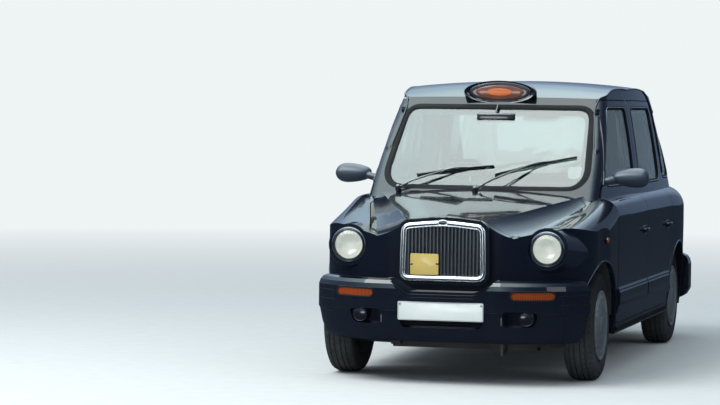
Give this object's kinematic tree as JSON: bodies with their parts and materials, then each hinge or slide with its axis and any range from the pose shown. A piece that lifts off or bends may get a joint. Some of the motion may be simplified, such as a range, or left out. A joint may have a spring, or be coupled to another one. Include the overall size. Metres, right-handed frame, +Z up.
{
  "type": "taxi cab",
  "caption": "Four-door purpose-built taxi with upright cabin, round headlamps, barred grille, roof sign, steering wheels, opening doors, bonnet and boot.",
  "frame": {"origin": "on the ground under the middle of the overall box", "axes": "+X the vehicle's left side, -Y the front, +Z up"},
  "size_m": [2.036, 4.5748, 1.8358],
  "materials": {
    "body_paint": "gloss",
    "window_glass": "clear",
    "floor_paint": "satin",
    "chassis_paint": "satin",
    "engine_iron": "rough",
    "exhaust_steel": "dull",
    "amber_lens": "gloss",
    "red_lens": "gloss",
    "lamp_lens": "clear",
    "chrome": "mirror",
    "bar_paint": "satin",
    "dark_plastic": "satin",
    "trim_panel": "satin",
    "seat_cloth": "woven",
    "knuckle_iron": "rough",
    "tyre": "matt",
    "wheel_silver": "satin"
  },
  "bodies": {
    "body": {"side_frame_left": "body_paint", "side_frame_right": "body_paint", "roof_panel": "body_paint", "scuttle": "body_paint", "rear_panel": "body_paint", "front_wings": "body_paint", "windscreen": "window_glass", "fixed_glass": "window_glass", "floor_pan": "floor_paint", "arch_liners": "floor_paint", "chassis_frame": "chassis_paint", "tow_eye": "chassis_paint", "engine": "engine_iron", "exhaust_system": "exhaust_steel", "fuel_tank": "chassis_paint", "front_suspension": "chassis_paint", "rear_axle": "chassis_paint", "front_bumper": "body_paint", "front_indicators": "amber_lens", "rear_bumper": "body_paint", "grille_surround": "chrome", "grille_bars": "bar_paint", "headlamps": "lamp_lens", "tail_lamps": "red_lens", "roof_sign": "dark_plastic", "partition": "trim_panel", "tip_up_seats": "seat_cloth", "driver_seat": "seat_cloth", "rear_bench": "seat_cloth", "parcel_shelf": "dark_plastic", "dashboard": "dark_plastic"},
    "bonnet": {"bonnet": "body_paint"},
    "boot_lid": {"boot_lid": "body_paint"},
    "steering_wheel": {"steering_wheel": "dark_plastic"},
    "front_door_left": {"front_door_left": "body_paint", "front_door_glass_left": "window_glass", "mirror_left": "dark_plastic"},
    "rear_door_left": {"rear_door_left": "body_paint", "rear_door_glass_left": "window_glass"},
    "knuckle_left": {"knuckle_left": "knuckle_iron"},
    "wheel_front_left": {"tyre_front_left": "tyre", "wheel_front_left": "wheel_silver"},
    "wheel_rear_left": {"tyre_rear_left": "tyre", "wheel_rear_left": "wheel_silver"},
    "front_door_right": {"front_door_right": "body_paint", "front_door_glass_right": "window_glass", "mirror_right": "dark_plastic"},
    "rear_door_right": {"rear_door_right": "body_paint", "rear_door_glass_right": "window_glass"},
    "knuckle_right": {"knuckle_right": "knuckle_iron"},
    "wheel_front_right": {"tyre_front_right": "tyre", "wheel_front_right": "wheel_silver"},
    "wheel_rear_right": {"tyre_rear_right": "tyre", "wheel_rear_right": "wheel_silver"}
  },
  "joints": [
    {"name": "bonnet_hinge", "type": "hinge", "parent": "body", "child": "bonnet", "pos_m": [0, -1.175, 1.165], "axis": [-1, 0, 0], "range_deg": [0, 50]},
    {"name": "boot_hinge", "type": "hinge", "parent": "body", "child": "boot_lid", "pos_m": [0, 2.09, 1.062], "axis": [1, 0, 0], "range_deg": [0, 75]},
    {"name": "front_door_left_hinge", "type": "hinge", "parent": "body", "child": "front_door_left", "pos_m": [0.888, -1.125, 0.75], "axis": [0, 0, -1], "range_deg": [0, 68]},
    {"name": "rear_door_left_hinge", "type": "hinge", "parent": "body", "child": "rear_door_left", "pos_m": [0.888, -0.026, 0.75], "axis": [0, 0, -1], "range_deg": [0, 80]},
    {"name": "front_door_right_hinge", "type": "hinge", "parent": "body", "child": "front_door_right", "pos_m": [-0.888, -1.125, 0.75], "axis": [0, 0, 1], "range_deg": [0, 68]},
    {"name": "rear_door_right_hinge", "type": "hinge", "parent": "body", "child": "rear_door_right", "pos_m": [-0.888, -0.026, 0.75], "axis": [0, 0, 1], "range_deg": [0, 80]},
    {"name": "steer_left", "type": "hinge", "parent": "body", "child": "knuckle_left", "pos_m": [0.69, -1.5475, 0.3345], "axis": [0, 0, 1], "range_deg": [-48, 48]},
    {"name": "steer_right", "type": "hinge", "parent": "body", "child": "knuckle_right", "pos_m": [-0.69, -1.5475, 0.3345], "axis": [0, 0, 1], "range_deg": [-48, 48]},
    {"name": "steering_wheel_turn", "type": "hinge", "parent": "body", "child": "steering_wheel", "pos_m": [-0.37, -0.655, 1.02], "axis": [0, 0.8944, 0.4472], "range_deg": [-768, 768]},
    {"name": "wheel_front_left_spin", "type": "hinge", "parent": "knuckle_left", "child": "wheel_front_left", "pos_m": [0.745, -1.5475, 0.3345], "axis": [1, 0, 0], "continuous": true},
    {"name": "wheel_rear_left_spin", "type": "hinge", "parent": "body", "child": "wheel_rear_left", "pos_m": [0.745, 1.3385, 0.3345], "axis": [1, 0, 0], "continuous": true},
    {"name": "wheel_front_right_spin", "type": "hinge", "parent": "knuckle_right", "child": "wheel_front_right", "pos_m": [-0.745, -1.5475, 0.3345], "axis": [1, 0, 0], "continuous": true},
    {"name": "wheel_rear_right_spin", "type": "hinge", "parent": "body", "child": "wheel_rear_right", "pos_m": [-0.745, 1.3385, 0.3345], "axis": [1, 0, 0], "continuous": true}
  ],
  "couplings": [
    {"joint": "steer_right", "follows": "steer_left", "ratio": 1},
    {"joint": "steering_wheel_turn", "follows": "steer_left", "ratio": 16}
  ]
}
